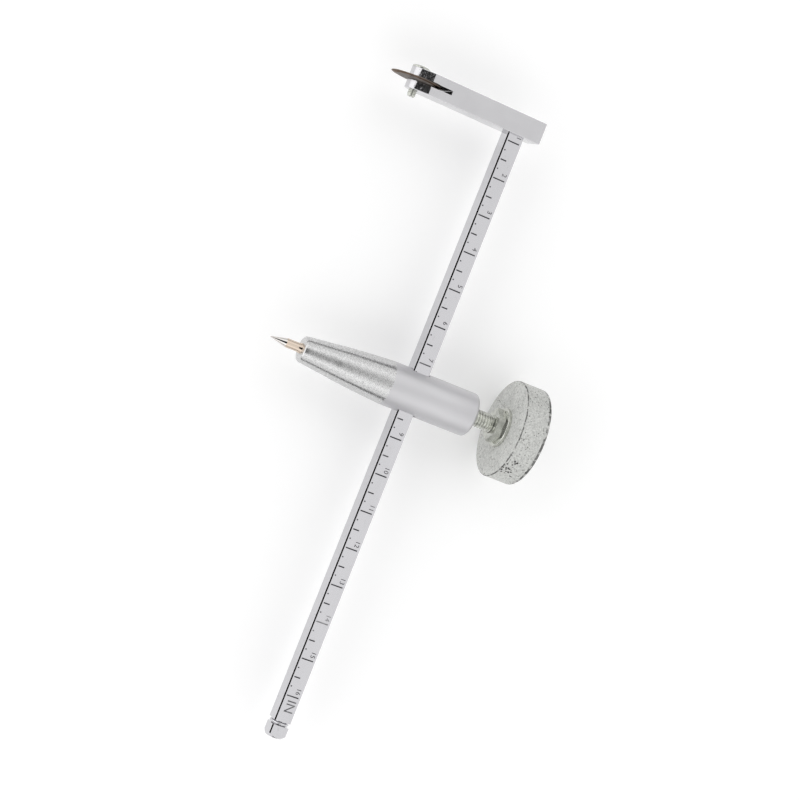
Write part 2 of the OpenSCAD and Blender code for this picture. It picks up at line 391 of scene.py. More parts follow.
def prism(name, axis, middle, radius, depth, sides):
    """A prism or cylinder that lies along an axis."""
    clear_selection()
    bpy.ops.mesh.primitive_cylinder_add(
        vertices=sides, radius=radius, depth=depth, location=middle, rotation=LAY_DOWN[axis]
    )
    return settle(bpy.context.object, name)


def arc(centre, radius, start, end, steps):
    """Points of an arc in (distance, radius), from one angle to another in degrees."""
    points = []
    for i in range(steps + 1):
        angle = math.radians(start + (end - start) * i / steps)
        points.append((centre[0] + radius * math.cos(angle), centre[1] + radius * math.sin(angle)))
    return points


def threaded_piece(name, axis, centre, start, end, pitch, root, crest, steps=48):
    """A screw thread between two places along an axis, wound with the Screw modifier."""
    clear_selection()
    turns = max(1, int((end - start) / pitch))
    bpy.ops.mesh.primitive_plane_add(size=pitch)
    tooth = bpy.context.object
    edit(tooth)
    bpy.ops.mesh.merge(type="CENTER")
    across = Vector((0, 0, 1))
    place = centre + AXIS[axis] * start
    bpy.ops.transform.translate(value=place + across * root)
    for (x0, r0), (x1, r1) in zip(THREAD, THREAD[1:]):
        step = AXIS[axis] * pitch * (x1 - x0) + across * (r1 - r0) * (crest - root)
        bpy.ops.mesh.extrude_region_move(TRANSFORM_OT_translate={"value": step})
    bpy.ops.object.mode_set(mode="OBJECT")
    tooth.location = -place
    settle(tooth, name)
    apply_modifier(
        tooth,
        "SCREW",
        axis=axis,
        screw_offset=pitch,
        iterations=turns,
        steps=steps,
        render_steps=steps,
        use_merge_vertices=True,
        merge_threshold=MERGE,
    )
    tooth.location = place
    settle(tooth, name)
    edit(tooth)
    bpy.ops.mesh.remove_doubles(threshold=1e-6)
    bpy.ops.mesh.fill_holes(sides=0)
    close_edit()
    return tooth


def select_faces(piece, test):
    """Select in edit mode the faces whose centre and normal pass a test."""
    edit(piece, "DESELECT")
    bpy.ops.mesh.select_mode(type="FACE")
    bpy.ops.object.mode_set(mode="OBJECT")
    for face in piece.data.polygons:
        face.select = test(face.center, face.normal)
    bpy.ops.object.mode_set(mode="EDIT")


def finish_faces(piece, slot_index, test):
    """Give the faces that pass a test the material in one of the piece's slots."""
    select_faces(piece, test)
    piece.active_material_index = slot_index
    bpy.ops.object.material_slot_assign()
    bpy.ops.object.mode_set(mode="OBJECT")


def dress(piece, *makers):
    """Give a piece its finishes, the first one all over."""
    piece.data.materials.clear()
    for maker in makers:
        piece.data.materials.append(finish_made(maker))
    for face in piece.data.polygons:
        face.material_index = 0


def place_in_frame(piece, body, node):
    """Ride a piece on its body in place of its CAD node."""
    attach(piece, body)
    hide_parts(node)


# ---- Finishes ------------------------------------------------------------------


class NodeTree:
    """Adds shader nodes on one kind of coordinates and links them up."""

    def __init__(self, owner, coordinates):
        owner.use_nodes = True
        self.nodes = owner.node_tree.nodes
        self.links = owner.node_tree.links
        self.coords = self.node("TexCoord", {}, coordinates)

    def feed(self, socket, value):
        """Set a socket from a number, a colour or a link."""
        if isinstance(value, bpy.types.NodeSocket):
            self.links.new(value, socket)
        else:
            socket.default_value = value

    def node(self, kind, inputs, output=0, **settings):
        """Add a node, fill its inputs and return one of its outputs."""
        node = self.nodes.new("ShaderNode" + kind)
        for key, value in settings.items():
            setattr(node, key, value)
        for key, value in inputs.items():
            self.feed(node.inputs[key], value)
        return node.outputs[output]

    def part(self, axis):
        """One coordinate."""
        return self.node("SeparateXYZ", {0: self.coords}, "XYZ".index(axis))

    def math(self, operation, first, second=0.0):
        """Combine two patterns, or a pattern and a number."""
        return self.node("Math", {0: first, 1: second}, operation=operation)

    def spread(self, value, low, high, out_low=0.0, out_high=1.0, interpolation="LINEAR"):
        """Stretch a pattern between two levels to new ones."""
        levels = {"From Min": low, "From Max": high, "To Min": out_low, "To Max": out_high}
        sockets = {"Value": value, **levels}
        return self.node("MapRange", sockets, "Result", interpolation_type=interpolation)


class Finish(NodeTree):
    """One node-based finish on object coordinates."""

    def __init__(self, name, base, roughness, metallic=1.0):
        self.material = bpy.data.materials.new(name)
        super().__init__(self.material, "Object")
        self.shader = self.nodes["Principled BSDF"]
        self.colour = (*base, 1.0)
        self.rough = roughness
        self.height = None
        self.set("Metallic", metallic)

    def set(self, name, value):
        """Set or link one of the shader's inputs."""
        self.feed(self.shader.inputs[name], value)

    def noise(self, scale, stretch=(1, 1, 1), detail=4.0, roughness=0.55, shift=(0, 0, 0)):
        """A noise pattern between 0 and 1."""
        place = self.node("Mapping", {"Vector": self.coords, "Scale": stretch, "Location": shift})
        sockets = {"Vector": place, "Scale": scale, "Detail": detail, "Roughness": roughness}
        return self.node("TexNoise", sockets, "Fac")

    def cells(self, scale):
        """Distance to scattered points."""
        return self.node("TexVoronoi", {"Vector": self.coords, "Scale": scale}, "Distance")

    def bands(self, scale, direction, distortion):
        """Fine parallel lines across a direction."""
        sockets = {"Vector": self.coords, "Scale": scale, "Distortion": distortion, "Detail": 2.0}
        return self.node("TexWave", sockets, "Fac", bands_direction=direction)

    def tint(self, pattern, colour):
        """Mix a colour in where a pattern is high."""
        sockets = {0: pattern, 6: self.colour, 7: (*colour, 1.0)}
        self.colour = self.node("Mix", sockets, 2, data_type="RGBA")

    def shade(self, pattern, low, high, amount, colour, factor):
        """Mix in a darker or lighter colour between two levels of a pattern."""
        self.tint(self.spread(pattern, low, high, 0, amount), scaled(colour, factor))

    def emboss(self, pattern, distance, strength=1.0):
        """Raise the surface by a pattern."""
        sockets = {"Strength": strength, "Distance": distance, "Height": pattern}
        if self.height is not None:
            sockets["Normal"] = self.height
        self.height = self.node("Bump", sockets, "Normal")

    def turn_marks(self, axis, amount, rotation):
        """Stretch the gloss across fine marks that run round an axis."""
        self.set("Tangent", self.node("Tangent", {}, direction_type="RADIAL", axis=axis))
        self.set("Anisotropic", amount)
        self.set("Anisotropic Rotation", rotation)

    def done(self):
        """Join the patterns to the shader and return the material."""
        self.set("Base Color", self.colour)
        self.set("Roughness", self.rough)
        if self.height is not None:
            self.set("Normal", self.height)
        return self.material


def scaled(colour_value, factor):
    """A colour made darker or lighter."""
    return [min(1.0, c * factor) for c in colour_value]


def edge_shade_metal(colours):
    """Knob edges painted dark, as painted shade for the dark line along the knob's outline, broken
    by chips of the cast colour.
    """
    finish = Finish("edge_shade_metal", scaled(colours.cast, 0.25), 0.35)
    chips = finish.noise(700)
    finish.shade(chips, 0.48, 0.6, 0.9, colours.cast, 1)
    finish.emboss(chips, 0.00008, 0.6)
    return finish.done()


def slot_shade_metal(colours):
    """Sawn walls of the head's slot, painted near black: painted shade inside the slot."""
    # Painted shade: the pit colour, darkened to near black, stands in for the shadow inside the
    # slot.
    finish = Finish("slot_shade_metal", scaled(colours.pit, 0.3), 0.6, 0.2)
    finish.set("Specular IOR Level", 0.1)
    grain = finish.noise(1800)
    finish.shade(grain, 0.55, 0.8, 0.4, colours.satin, 0.12)
    return finish.done()


def turned_metal(colours):
    """Turned and emery-polished taper: fine rings, faint streaks and grain."""
    finish = Finish("turned_metal", colours.turned, 0.3)
    rings = finish.bands(2600, "X", 0.6)
    grain = finish.noise(2600, detail=4, roughness=0.7)
    streaks = finish.noise(260, (0.25, 1, 1), 3)
    finish.shade(streaks, 0.42, 0.7, 0.3, colours.turned, 0.9)
    finish.shade(grain, 0.5, 0.66, 0.8, colours.turned, 1.35)
    finish.shade(grain, 0.5, 0.34, 0.8, colours.turned, 0.65)
    finish.rough = finish.spread(grain, 0.3, 0.75, 0.24, 0.32)
    finish.turn_marks("X", 0.65, 0.25)
    finish.emboss(grain, 0.00003, 0.5)
    finish.emboss(rings, 0.000004, 0.5)
    return finish.done()


def satin_metal(colours):
    """Evenly blasted metal of the barrel."""
    finish = Finish("satin_metal", scaled(colours.satin, 1.08), 0.5)
    grain = finish.noise(2600, detail=5)
    clouds = finish.noise(90, (0.3, 1, 1), 3)
    finish.shade(clouds, 0.4, 0.75, 0.3, colours.satin, 0.88)
    finish.shade(grain, 0.6, 0.8, 0.3, colours.satin, 1.2)
    finish.rough = finish.spread(clouds, 0.3, 0.7, 0.46, 0.56)
    finish.emboss(grain, 0.00002, 0.4)
    return finish.done()


def milled_metal(colours):
    """Milled and dulled faces of the head."""
    finish = Finish("milled_metal", colours.satin, 0.2)
    clouds = finish.noise(150)
    grain = finish.noise(2200, detail=5)
    finish.shade(clouds, 0.4, 0.75, 0.4, colours.satin, 0.9)
    finish.rough = finish.spread(clouds, 0.3, 0.7, 0.16, 0.24)
    finish.emboss(grain, 0.00001, 0.35)
    return finish.done()


def filed_metal(colours):
    """Filed flanks of the fork, with crossing scratches."""
    finish = Finish("filed_metal", colours.satin, 0.16)
    scratches = finish.noise(900, (1, 0.5, 1), 6)
    grain = finish.noise(2600, detail=5)
    finish.shade(scratches, 0.5, 0.75, 0.5, colours.satin, 0.7)
    finish.rough = finish.spread(grain, 0.3, 0.7, 0.12, 0.24)
    finish.emboss(scratches, 0.00018, 0.8)
    return finish.done()


def plated_bar(colours):
    """Drawn and plated bar: long fine lines and small scuffs."""
    finish = Finish("plated_bar", colours.plated, 0.15)
    lines = finish.noise(3200, (1, 0.012, 1), 4)
    clouds = finish.noise(120, (1, 0.3, 1), 3)
    scuffs = finish.noise(700, (1, 0.5, 1), 5, shift=(3, 1, 2))
    finish.shade(clouds, 0.4, 0.75, 0.35, colours.plated, 0.9)
    finish.shade(scuffs, 0.62, 0.75, 0.35, colours.plated, 0.75)
    finish.rough = finish.spread(lines, 0.3, 0.7, 0.11, 0.19)
    finish.emboss(lines, 0.000006, 0.3)
    return finish.done()


def mark_ink(colours):
    """Dark, uneven fill of the scale's marks."""
    finish = Finish("mark_ink", colours.ink, 0.6, 0.2)
    fade = finish.noise(80)
    finish.shade(fade, 0.54, 0.7, 0.7, colours.plated, 0.7)
    return finish.done()


def straw_steel(colours):
    """Hardened, straw-tempered steel of the centre pin."""
    finish = Finish("straw_steel", colours.straw, 0.2)
    temper = finish.noise(500, (0.5, 1, 1), 3)
    finish.shade(temper, 0.4, 0.7, 0.4, colours.straw, 0.88)
    finish.rough = finish.spread(temper, 0.3, 0.7, 0.1, 0.18)
    return finish.done()


def bright_point(colours):
    """Polished point of the centre pin."""
    finish = Finish("bright_point", colours.bright, 0.06)
    film = finish.noise(700, detail=3)
    finish.shade(film, 0.4, 0.7, 0.3, colours.straw, 0.9)
    finish.rough = finish.spread(film, 0.3, 0.7, 0.04, 0.09)
    return finish.done()


def wheel_edge(colours):
    """Freshly ground bevel of the cutter wheel."""
    finish = Finish("wheel_edge", colours.wheel_edge, 0.2)
    finish.set("Specular Tint", (*scaled(colours.wheel_edge, 1.6), 1))
    grain = finish.noise(2800)
    finish.rough = finish.spread(grain, 0.3, 0.7, 0.15, 0.26)
    return finish.done()


def wheel_face(colours):
    """Darkened body of the cutter wheel, with stains."""
    finish = Finish("wheel_face", colours.wheel, 0.5, 0.2)
    finish.set("Specular IOR Level", 0.15)
    stains = finish.noise(420)
    grain = finish.noise(2800)
    finish.shade(stains, 0.45, 0.65, 0.6, colours.wheel, 2.4)
    finish.rough = finish.spread(grain, 0.3, 0.7, 0.4, 0.55)
    finish.emboss(grain, 0.000008, 0.35)
    return finish.done()


def zinc_plate(colours):
    """Bright zinc plate with a faint yellow bloom."""
    finish = Finish("zinc_plate", colours.zinc, 0.2, 0.8)
    bloom = finish.noise(450)
    grain = finish.noise(2400)
    finish.shade(bloom, 0.42, 0.66, 0.7, colours.zinc, 0.6)
    finish.rough = finish.spread(grain, 0.3, 0.75, 0.12, 0.22)
    finish.emboss(grain, 0.000006, 0.3)
    return finish.done()


def cast_skin(colours):
    """Machined casting: soft blotches, grain and scattered pores."""
    finish = Finish("cast_skin", colours.cast, 0.6, 0.2)
    finish.set("Specular IOR Level", 0.3)
    blotches = finish.noise(160, detail=5)
    grain = finish.noise(1800, detail=5)
    pores = finish.cells(1100)
    bare = finish.noise(230, detail=3, shift=(5, 2, 7))
    finish.shade(blotches, 0.4, 0.7, colours.wear, colours.cast, 0.8)
    finish.shade(grain, 0.52, 0.68, 0.7, colours.cast, 1.25)
    finish.shade(grain, 0.48, 0.32, 0.8, colours.cast, 0.6)
    pits = finish.math(
        "MULTIPLY", finish.spread(pores, 0.26, 0.16, 0, 1), finish.spread(bare, 0.44, 0.54, 0, 1)
    )
    finish.tint(pits, scaled(colours.pit, 2.5))
    finish.rough = finish.spread(blotches, 0.3, 0.7, 0.6, 0.75)
    finish.emboss(grain, 0.00004, 0.5)
    finish.emboss(finish.math("SUBTRACT", 1.0, pits), 0.0001, 0.6)
    return finish.done()


def pit_metal(colours):
    """Dark, rough inside of the casting pits."""
    finish = Finish("pit_metal", colours.pit, 0.7, 0.3)
    grain = finish.noise(3000)
    finish.shade(grain, 0.5, 0.75, 0.6, colours.cast, 0.5)
    return finish.done()


def wire_steel(colours):
    """Darker drawn wire of the stop ring."""
    finish = Finish("wire_steel", colours.plated, 0.2)
    grain = finish.noise(2600)
    finish.shade(grain, 0.5, 0.75, 0.5, colours.plated, 0.7)
    finish.emboss(grain, 0.00001, 0.4)
    return finish.done()


def finish_made(maker):
    """Make a finish the first time it is asked for, then reuse it."""
    made = bpy.data.materials.get(maker.__name__)
    return made or maker(bpy.context.scene.gauge_finish)


# ---- Operators -----------------------------------------------------------------


class GAUGE_OT_handle(bpy.types.Operator):
    """Turn the handle: rounded nose, bowed taper with a shoulder, satin barrel and window"""

    bl_idname = "gauge.handle"
    bl_label = "Handle"

    def radius_at(self, s, barrel_radius, x):
        rise = (barrel_radius - s.nose_radius) * x / s.taper_length
        bow = s.taper_bow * math.sin(math.pi * x / s.taper_length)
        before = min(1.0, max(0.0, (s.shoulder_at - x) / s.shoulder_width + 0.5))
        dip = before * before * (3 - 2 * before) * x / s.shoulder_at
        return s.nose_radius + rise + bow - s.shoulder_height * dip

    def outline(self, s, barrel_radius, rear):
        points = arc((s.nose_round, s.nose_radius - s.nose_round), s.nose_round, 180, 100, 9)
        taper_steps = 60
        for i in range(1, taper_steps + 1):
            x = s.nose_round + (s.taper_length - s.nose_round) * i / taper_steps
            points.append((x, self.radius_at(s, barrel_radius, x)))
        points += arc((rear - s.rear_round, barrel_radius - s.rear_round), s.rear_round, 90, 0, 8)
        return points

    def window(self, s, barrel_radius):
        half = BEAM_WIDTH / 2
        low = (BEAM_X - half - s.window_gap, -2 * barrel_radius, -half - s.window_gap)
        high = (BEAM_X + half + s.window_slack, 2 * barrel_radius, half + s.window_gap)
        return box_piece("window_cutter", low, high)

    def execute(self, context):
        s = context.scene.gauge_handle
        rear = node_high("handle_body", "X")
        barrel_radius = node_span("handle_body", "Z") / 2
        handle = turned_piece("handle", "X", (0, 0, 0), self.outline(s, barrel_radius, rear), 160)
        cut(handle, self.window(s, barrel_radius))
        tapped = node_span("clamp_stud", "Z") / 2 + 0.06 * MM
        bore = turned_piece(
            "bore_cutter",
            "X",
            (0, 0, 0),
            [(BEAM_X, tapped), (rear - 0.5 * MM, tapped), (rear + 0.1 * MM, tapped + 0.6 * MM)],
            64,
        )
        cut(handle, bore)
        smooth(handle, 25)
        dress(handle, satin_metal, turned_metal)
        finish_faces(handle, 1, lambda centre, normal: centre.x < s.taper_length)
        place_in_frame(handle, "handle", "handle_body")
        return {"FINISHED"}


class GAUGE_OT_centre_pin(bpy.types.Operator):
    """Turn the centre pin: flared root, straight shank and ground point"""

    bl_idname = "gauge.centre_pin"
    bl_label = "Centre pin"

    def execute(self, context):
        s = context.scene.gauge_handle
        tip = node_low("centre_pin", "X")
        seat = node_high("centre_pin", "X")
        seat_radius = node_span("centre_pin", "Z") / 2
        shank = 1.5 * MM
        root = shank + s.pin_flare
        point_end = tip + s.pin_point
        outline = [
            (tip, 0.08 * MM),
            (tip + 0.12 * MM, 0.16 * MM),
            (point_end - 0.15 * MM, shank - 0.05 * MM),
            (point_end, shank - 0.01 * MM),
            (point_end + 0.15 * MM, shank),
            (-s.pin_flare_length, shank),
            (-s.pin_flare_length * 0.85, shank + HAIR),
            (-HAIR, root),
            (0.01 * MM, min(root, seat_radius)),
            (seat, min(root, seat_radius)),
        ]
        pin = turned_piece("centre_pin_piece", "X", (0, 0, 0), outline, 64)
        smooth(pin, 25)
        dress(pin, straw_steel, bright_point)
        finish_faces(pin, 1, lambda centre, normal: centre.x < point_end)
        place_in_frame(pin, "handle", "centre_pin")
        return {"FINISHED"}


class GAUGE_OT_beam(bpy.types.Operator):
    """Shape the beam: rounded edges, turned end, ring groove, riveted tenon, marks and numerals"""

    bl_idname = "gauge.beam"
    bl_label = "Graduated beam"

    def bar(self, s):
        half = BEAM_WIDTH / 2
        low = node_low("beam", "Y")
        bar = box_piece(
            "beam_piece", (BEAM_X - half, low, -half), (BEAM_X + half, HEAD_LOW_Y, half)
        )
        tilt = math.radians(s.edge_tilt)
        for side in (-1, 1):
            for face in (-1, 1):
                normal = Vector((side * math.sin(tilt), 0, face * math.cos(tilt)))
                place = Vector((BEAM_X + side * (half - s.edge_flat), 0, face * half))
                edit(bar)
                bpy.ops.mesh.bisect(
                    plane_co=place, plane_no=normal, use_fill=True, clear_outer=True
                )
                close_edit()
        self.round_long_edges(s, bar, half)
        return bar

    def round_long_edges(self, s, bar, half):
        """Round the four outermost long edges."""
        edit(bar, "DESELECT")
        bpy.ops.mesh.select_mode(type="EDGE")
        bpy.ops.object.mode_set(mode="OBJECT")
        for line in bar.data.edges:
            first, second = (bar.data.vertices[i].co for i in line.vertices)
            outermost = abs(abs(first.x - BEAM_X) - half) < 0.001 * MM
            line.select = outermost and abs(first.y - second.y) > half
        bpy.ops.object.mode_set(mode="EDIT")
        bpy.ops.mesh.bevel(offset=s.edge_round, segments=8, affect="EDGES")
        close_edit()

    def end_cutter(self, s):
        low = node_low("beam", "Y")
        half = BEAM_WIDTH / 2
        corner = half * math.sqrt(2) - 0.2 * MM
        inner = corner - s.end_bevel
        outline = [
            (low - MM, inner - MM * 0.4),
            (low, inner),
            (low + s.end_bevel, corner),
            (low + s.end_bevel, BEAM_WIDTH),
            (low - MM, BEAM_WIDTH),
        ]
        return turned_ring("end_cutter", "Y", (BEAM_X, 0, 0), outline, 96)

    def groove_cutter(self, s, ring_y, groove_radius):
        start, end = ring_y - s.groove_width / 2, ring_y + s.groove_width / 2
        lip = 0.12 * MM
        outline = [
            (start, groove_radius + lip),
            (start + lip, groove_radius),
            (end - lip, groove_radius),
            (end, groove_radius + lip),
            (end, BEAM_WIDTH),
            (start, BEAM_WIDTH),
        ]
        return turned_ring("groove_cutter", "Y", (BEAM_X, 0, 0), outline, 96)

    def tenon(self, s):
        rivet = bpy.context.scene.gauge_head.rivet_radius
        outline = [
            (HEAD_LOW_Y - 0.5 * MM, 2.1 * MM),
            (HEAD_TOP_Y - 0.6 * MM, 2.1 * MM),
            (HEAD_TOP_Y - 0.1 * MM, rivet - 0.1 * MM),
            (HEAD_TOP_Y, rivet - 0.25 * MM),
        ]
        return turned_piece("tenon", "Y", (BEAM_X, 0, 0), outline, 64)

    def mark_row(self, s, name, mark, spacing, count, first_y):
        top = BEAM_WIDTH / 2
        left = BEAM_X - top + s.edge_flat + s.mark_inset
        row = box_piece(
            name,
            (left, first_y - s.mark_width / 2, top - s.mark_depth),
            (left + mark, first_y + s.mark_width / 2, top + MM),
        )
        apply_modifier(
            row,
            "ARRAY",
            count=count,
            use_relative_offset=False,
            use_constant_offset=True,
            constant_offset_displace=(0, -spacing, 0),
        )
        return row

    def letters(self, s, text, size, right, middle_y):
        """Raised letters that read along the beam, with their tops to the right."""
        clear_selection()
        bpy.ops.object.text_add(location=(0, 0, 0))
        words = bpy.context.object
        words.data.body = text
        words.data.size = size
        words.data.extrude = MM
        words.data.resolution_u = 3
        pick(words)
        bpy.ops.object.convert(target="MESH")
        words = bpy.context.object
        words.rotation_euler = (0, 0, -math.pi / 2)
        settle(words, "letters")
        corners = [v.co for v in words.data.vertices]
        high_x = max(c.x for c in corners)
        own_middle = (min(c.y for c in corners) + max(c.y for c in corners)) / 2
        height = BEAM_WIDTH / 2 - s.mark_depth + MM
        words.location = (right - high_x, middle_y - own_middle, height)
        return settle(words, "letters")

    def execute(self, context):
        s = context.scene.gauge_beam
        half = BEAM_WIDTH / 2
        first_y = WHEEL_CENTRE.y - s.first_mark
        last_y = first_y - (s.units - 1) * s.unit
        ring_y = node_middle("stop_ring", "Y")
        groove_radius = node_span("stop_ring", "X") / 2 - 2 * s.ring_wire
        bar = self.bar(s)
        cut(bar, self.end_cutter(s))
        cut(bar, self.groove_cutter(s, ring_y, groove_radius))
        small = s.unit / s.divisions
        steps = (s.units - 1) * s.divisions
        cut(bar, self.mark_row(s, "small_marks", s.small_mark, small, steps + 1, first_y))
        cut(bar, self.mark_row(s, "half_marks", s.half_mark, s.unit / 2, steps // 2, first_y))
        cut(bar, self.mark_row(s, "whole_marks", s.whole_mark, s.unit, s.units, first_y))
        right = BEAM_X + half - 0.75 * MM
        word_right = BEAM_X + half - 0.9 * MM
        words = self.letters(s, "IN", s.word_size, word_right, last_y - s.word_drop)
        for mark in range(s.units):
            middle_y = first_y - mark * s.unit + s.numeral_lift
            numeral = self.letters(s, str(mark + 1), s.numeral_size, right, middle_y)
            words = join(words, numeral)
        cut(bar, words, crossing=True)
        smooth(bar, 12)
        tenon = self.tenon(s)
        smooth(tenon, 25)
        join(bar, tenon)
        dress(bar, plated_bar, mark_ink)

        start = BEAM_X - half + s.edge_flat

        def in_mark(centre, normal):
            if centre.x < start:
                return False
            on_floor = normal.z > 0.999 and centre.z < half - s.mark_depth / 2
            on_wall = abs(normal.z) < 0.01 and centre.z > half - s.mark_depth * 1.1
            return on_floor or (on_wall and abs(centre.x - BEAM_X) < half - s.mark_depth)

        finish_faces(bar, 1, in_mark)
        place_in_frame(bar, "beam", "beam")
        return {"FINISHED"}


class GAUGE_OT_stop_ring(bpy.types.Operator):
    """Bend the stop ring: a split ring of round wire in the beam's groove"""

    bl_idname = "gauge.stop_ring"
    bl_label = "Stop ring"

    def execute(self, context):
        s = context.scene.gauge_beam
        low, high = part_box("stop_ring")
        ring_radius = (high.x - low.x) / 2 - s.ring_wire
        middle = Vector((BEAM_X, (low.y + high.y) / 2, 0))
        clear_selection()
        bpy.ops.mesh.primitive_circle_add(
            vertices=20,
            radius=s.ring_wire,
            fill_type="NGON",
            location=middle + Vector((0, 0, -ring_radius)),
            rotation=(0, math.pi / 2, 0),
        )
        ring = settle(bpy.context.object, "stop_ring_piece")
        gap = math.asin(0.8 * MM / ring_radius)
        edit(ring)
        bpy.ops.transform.rotate(value=-gap, orient_axis="Y", center_override=middle)
        bpy.ops.mesh.spin(steps=72, angle=2 * math.pi - 2 * gap, center=middle, axis=(0, 1, 0))
        close_edit()
        smooth(ring, 40)
        dress(ring, wire_steel)
        place_in_frame(ring, "beam", "stop_ring")
        return {"FINISHED"}


class GAUGE_OT_head(bpy.types.Operator):
    """Shape the head block: forked tip with tangent flanks, slot and bevelled edges"""

    bl_idname = "gauge.head"
    bl_label = "Head block"

    def execute(self, context):
        s = context.scene.gauge_head
        low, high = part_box("head_block")
        tip_middle = (WHEEL_CENTRE.x + s.tip_shift, (low.y + high.y) / 2, 0)
        tip = prism("fork_tip", "Y", tip_middle, s.tip_radius, high.y - low.y, 96)
        body_low = (WHEEL_CENTRE.x + s.full_depth_at, low.y, low.z)
        head = join(box_piece("head", body_low, high), tip)
        edit(head)
        bpy.ops.mesh.convex_hull()
        bpy.ops.mesh.select_all(action="SELECT")
        bpy.ops.mesh.dissolve_limited(angle_limit=math.radians(1))
        close_edit()
        slot_end = WHEEL_CENTRE.x + s.slot_length
        half_slot = s.slot_width / 2
        slot = box_piece(
            "slot_cutter",
            (low.x - MM, WHEEL_CENTRE.y - half_slot, low.z - MM),
            (slot_end, WHEEL_CENTRE.y + half_slot, high.z + MM),
        )
        cut(head, slot)
        apply_modifier(
            head,
            "BEVEL",
            width=s.edge_bevel,
            segments=2,
            limit_method="ANGLE",
            angle_limit=math.radians(40),
        )
        socket = turned_piece(
            "rivet_cutter",
            "Y",
            (BEAM_X, 0, 0),
            [
                (high.y - 0.5 * MM, s.rivet_radius - 0.4 * MM),
                (high.y + HAIR, s.rivet_radius + 0.12 * MM),
                (high.y + MM, s.rivet_radius + 0.12 * MM),
            ],
            64,
        )
        cut(head, socket)
        smooth(head, 12)
        dress(head, milled_metal, filed_metal, slot_shade_metal)

        def on_flank(centre, normal):
            return abs(normal.y) < 0.2 and -0.6 < normal.x < -0.15

        finish_faces(head, 1, on_flank)

        # Faces inside the slot get the near-black finish, which is painted shade for the slot's
        # shadow.
        def in_slot(centre, normal):
            from_wheel = abs(centre.y - WHEEL_CENTRE.y)
            facing = abs(normal.y) > 0.99 or normal.x < -0.99
            return from_wheel < half_slot + HAIR and facing

        finish_faces(head, 2, in_slot)
        place_in_frame(head, "beam", "head_block")
        return {"FINISHED"}


class GAUGE_OT_wheel(bpy.types.Operator):
    """Turn the cutter wheel: bored, flat sides, double bevel and a thin edge"""

    bl_idname = "gauge.wheel"
    bl_label = "Cutter wheel"

    def execute(self, context):
        s = context.scene.gauge_head
        low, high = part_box("cutter_wheel")
        radius = (high.x - low.x) / 2
        half = (high.y - low.y) / 2
        flat = radius - s.wheel_bevel
        bore = s.axle_radius + 0.05 * MM
        edge = s.wheel_edge / 2
        ground = edge + (half - edge) * s.ground_edge / s.wheel_bevel
        outline = [
            (-half + 0.08 * MM, bore),
            (-half, bore + 0.08 * MM),
            (-half, flat - 0.1 * MM),
            (-half + HAIR, flat + 0.1 * MM),
            (-ground, radius - s.ground_edge),
            (-edge, radius - HAIR),
            (0, radius),
            (edge, radius - HAIR),
            (ground, radius - s.ground_edge),
            (half - HAIR, flat + 0.1 * MM),
            (half, flat - 0.1 * MM),
            (half, bore + 0.08 * MM),
            (half - 0.08 * MM, bore),
        ]
        wheel = turned_ring("wheel_piece", "Y", WHEEL_CENTRE, outline, 192)
        smooth(wheel, 12)
        dress(wheel, wheel_face, wheel_edge)

        def in_edge(centre, normal):
            return (centre - WHEEL_CENTRE).length > radius - s.ground_edge

        finish_faces(wheel, 1, in_edge)
        place_in_frame(wheel, "wheel", "cutter_wheel")
        return {"FINISHED"}


class GAUGE_OT_axle_screw(bpy.types.Operator):
    """Turn the axle screw: domed head with a driver slot, plain shank and threaded end"""

    bl_idname = "gauge.axle_screw"
    bl_label = "Axle screw"

    def execute(self, context):
        s = context.scene.gauge_head
        low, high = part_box("axle_screw")
        centre = Vector((WHEEL_CENTRE.x, 0, 0))
        head_radius = (high.x - low.x) / 2
        rim = 0.35 * MM
        dome = [(HEAD_TOP_Y, s.axle_radius), (HEAD_TOP_Y + 0.01 * MM, head_radius - 0.05 * MM)]
        for i in range(11):
            angle = math.radians(88 * i / 10)
            height = HEAD_TOP_Y + rim + (s.axle_head - rim) * math.sin(angle)
            dome.append((height, head_radius * math.cos(angle)))
        shank = [(HEAD_LOW_Y + 0.3 * MM, s.axle_radius - HAIR)]
        screw = turned_piece("axle_screw_piece", "Y", centre, shank + dome, 72)
        slot = box_piece(
            "driver_slot",
            (centre.x - 4 * MM, high.y - 0.55 * MM, -0.4 * MM),
            (centre.x + 4 * MM, high.y + MM, 0.4 * MM),
        )
        cut(screw, slot)
        thread_length = HEAD_LOW_Y + 0.8 * MM - (low.y + 0.25 * MM)
        thread = threaded_piece(
            "axle_thread",
            "Y",
            centre,
            HEAD_LOW_Y + 0.8 * MM - thread_length,
            HEAD_LOW_Y + 0.8 * MM,
            s.axle_pitch,
            s.axle_radius - 0.28 * MM,
            s.axle_radius - 0.01 * MM,
            40,
        )
        core = turned_piece(
            "axle_core",
            "Y",
            centre,
            [
                (low.y, s.axle_radius - 0.55 * MM),
                (low.y + 0.3 * MM, s.axle_radius - 0.27 * MM),
                (HEAD_LOW_Y + 0.5 * MM, s.axle_radius - 0.27 * MM),
            ],
            48,
        )
        for piece in (screw, thread, core):
            smooth(piece, 30)
        join(screw, thread, core)
        dress(screw, zinc_plate)
        place_in_frame(screw, "beam", "axle_screw")
        return {"FINISHED"}


